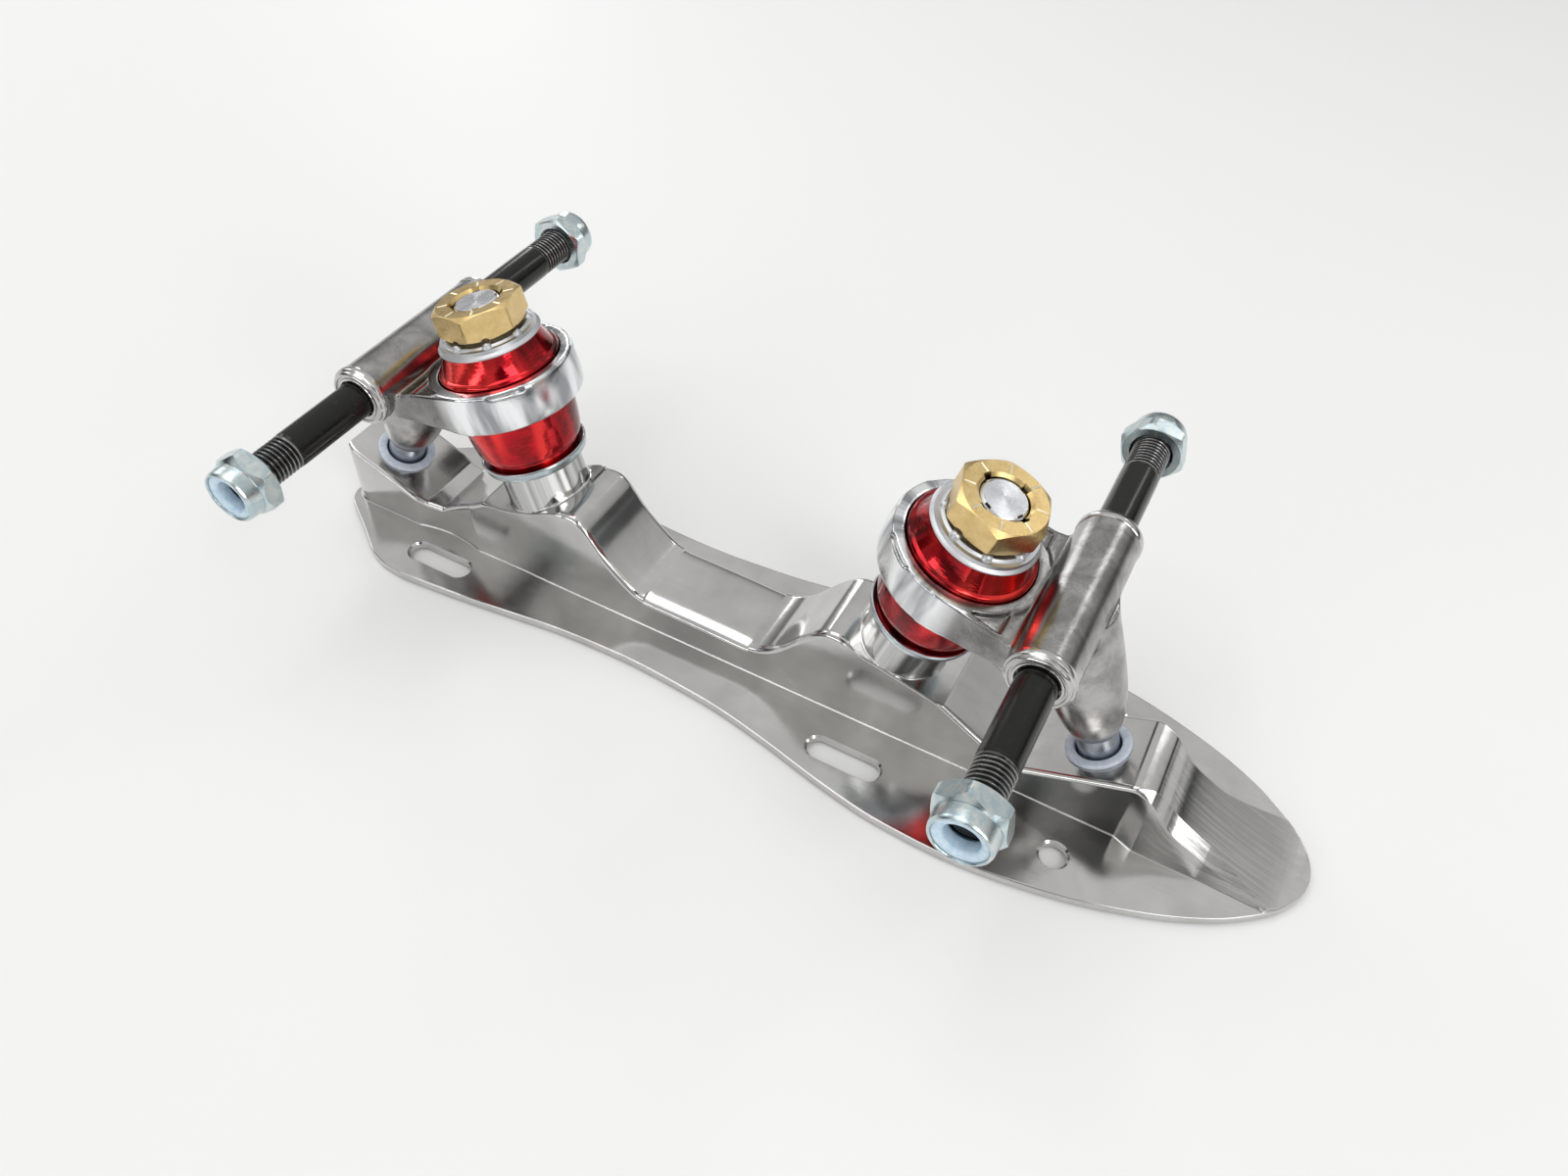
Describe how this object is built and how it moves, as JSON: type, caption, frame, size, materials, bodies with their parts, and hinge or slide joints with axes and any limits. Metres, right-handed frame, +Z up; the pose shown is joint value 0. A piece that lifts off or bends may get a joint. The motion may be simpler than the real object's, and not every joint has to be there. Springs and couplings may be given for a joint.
{
  "type": "roller skate plate",
  "caption": "Polished aluminium quad roller skate plate with leaned kingpins, sprung steering trucks, red cushions, brass adjusting nuts and black axles for wheels.",
  "frame": {"origin": "middle of the boot face, under the middle of the plate's length", "axes": "+X runs to the toe, +Z runs up from the boot face to the trucks, +Y is to the left when facing the toe"},
  "size_m": [0.239, 0.1152, 0.0717],
  "materials": {
    "plate": "polished, brushed on the milled faces",
    "hanger_metal": "polished casting",
    "cup_metal": "satin, turned",
    "kingpin_steel": "turned",
    "pivot_steel": "satin",
    "nut_brass": "machined",
    "zinc_washer": "bright zinc",
    "zinc_nut": "blue white zinc",
    "black_axle": "gloss black oxide",
    "cushion": "glossy clear red urethane",
    "cup_plastic": "smooth moulded",
    "nylon": "translucent nylon"
  },
  "bodies": {
    "plate_body": {"plate": "plate", "front_kingpin": "kingpin_steel", "front_lower_washer": "zinc_washer", "front_pivot_cup": "cup_plastic", "front_lower_cushion": "cushion", "front_upper_cushion": "cushion", "rear_kingpin": "kingpin_steel", "rear_lower_washer": "zinc_washer", "rear_pivot_cup": "cup_plastic", "rear_lower_cushion": "cushion", "rear_upper_cushion": "cushion"},
    "front_truck": {"front_hanger": "hanger_metal", "front_axle": "black_axle", "front_pivot_pin": "pivot_steel"},
    "front_cup_body": {"front_upper_cup": "cup_metal"},
    "front_nut_body": {"front_kingpin_nut": "nut_brass"},
    "front_lock_left": {"front_lock_nut_left": "zinc_nut", "front_lock_insert_left": "nylon"},
    "front_lock_right": {"front_lock_nut_right": "zinc_nut", "front_lock_insert_right": "nylon"},
    "rear_truck": {"rear_hanger": "hanger_metal", "rear_axle": "black_axle", "rear_pivot_pin": "pivot_steel"},
    "rear_cup_body": {"rear_upper_cup": "cup_metal"},
    "rear_nut_body": {"rear_kingpin_nut": "nut_brass"},
    "rear_lock_left": {"rear_lock_nut_left": "zinc_nut", "rear_lock_insert_left": "nylon"},
    "rear_lock_right": {"rear_lock_nut_right": "zinc_nut", "rear_lock_insert_right": "nylon"}
  },
  "joints": [
    {"name": "front_steer", "type": "hinge", "parent": "plate_body", "child": "front_truck", "pos_m": [0.07282, 0, 0.01307], "axis": [-0.6963, 0, 0.7178], "range_deg": [-8, 8], "stiffness_Nm_per_rad": 30, "deforming": ["front_upper_cushion", "front_lower_cushion"]},
    {"name": "front_cup_slide", "type": "slide", "parent": "plate_body", "child": "front_cup_body", "axis": [0.2756, 0, 0.9613], "range_m": [0, 0.00112]},
    {"name": "front_nut_turn", "type": "hinge", "parent": "front_cup_body", "child": "front_nut_body", "pos_m": [0.03089, 0, 0.03344], "axis": [0.2756, 0, 0.9613], "range_deg": [0, 270]},
    {"name": "front_lock_left_off", "type": "slide", "parent": "front_truck", "child": "front_lock_left", "axis": [0, 1, 0], "range_m": [0, 0.045]},
    {"name": "front_lock_right_off", "type": "slide", "parent": "front_truck", "child": "front_lock_right", "axis": [0, -1, 0], "range_m": [0, 0.045]},
    {"name": "rear_steer", "type": "hinge", "parent": "plate_body", "child": "rear_truck", "pos_m": [-0.10782, 0, 0.01307], "axis": [0.6963, 0, 0.7178], "range_deg": [-8, 8], "stiffness_Nm_per_rad": 30, "deforming": ["rear_upper_cushion", "rear_lower_cushion"]},
    {"name": "rear_cup_slide", "type": "slide", "parent": "plate_body", "child": "rear_cup_body", "axis": [-0.2756, 0, 0.9613], "range_m": [0, 0.00112]},
    {"name": "rear_nut_turn", "type": "hinge", "parent": "rear_cup_body", "child": "rear_nut_body", "pos_m": [-0.06589, 0, 0.03344], "axis": [-0.2756, 0, 0.9613], "range_deg": [0, 270]},
    {"name": "rear_lock_left_off", "type": "slide", "parent": "rear_truck", "child": "rear_lock_left", "axis": [0, 1, 0], "range_m": [0, 0.045]},
    {"name": "rear_lock_right_off", "type": "slide", "parent": "rear_truck", "child": "rear_lock_right", "axis": [0, -1, 0], "range_m": [0, 0.045]}
  ],
  "couplings": [
    {"joint": "front_nut_turn", "follows": "front_cup_slide", "rad_per_m": 4188.8},
    {"joint": "rear_nut_turn", "follows": "rear_cup_slide", "rad_per_m": 4188.8}
  ]
}
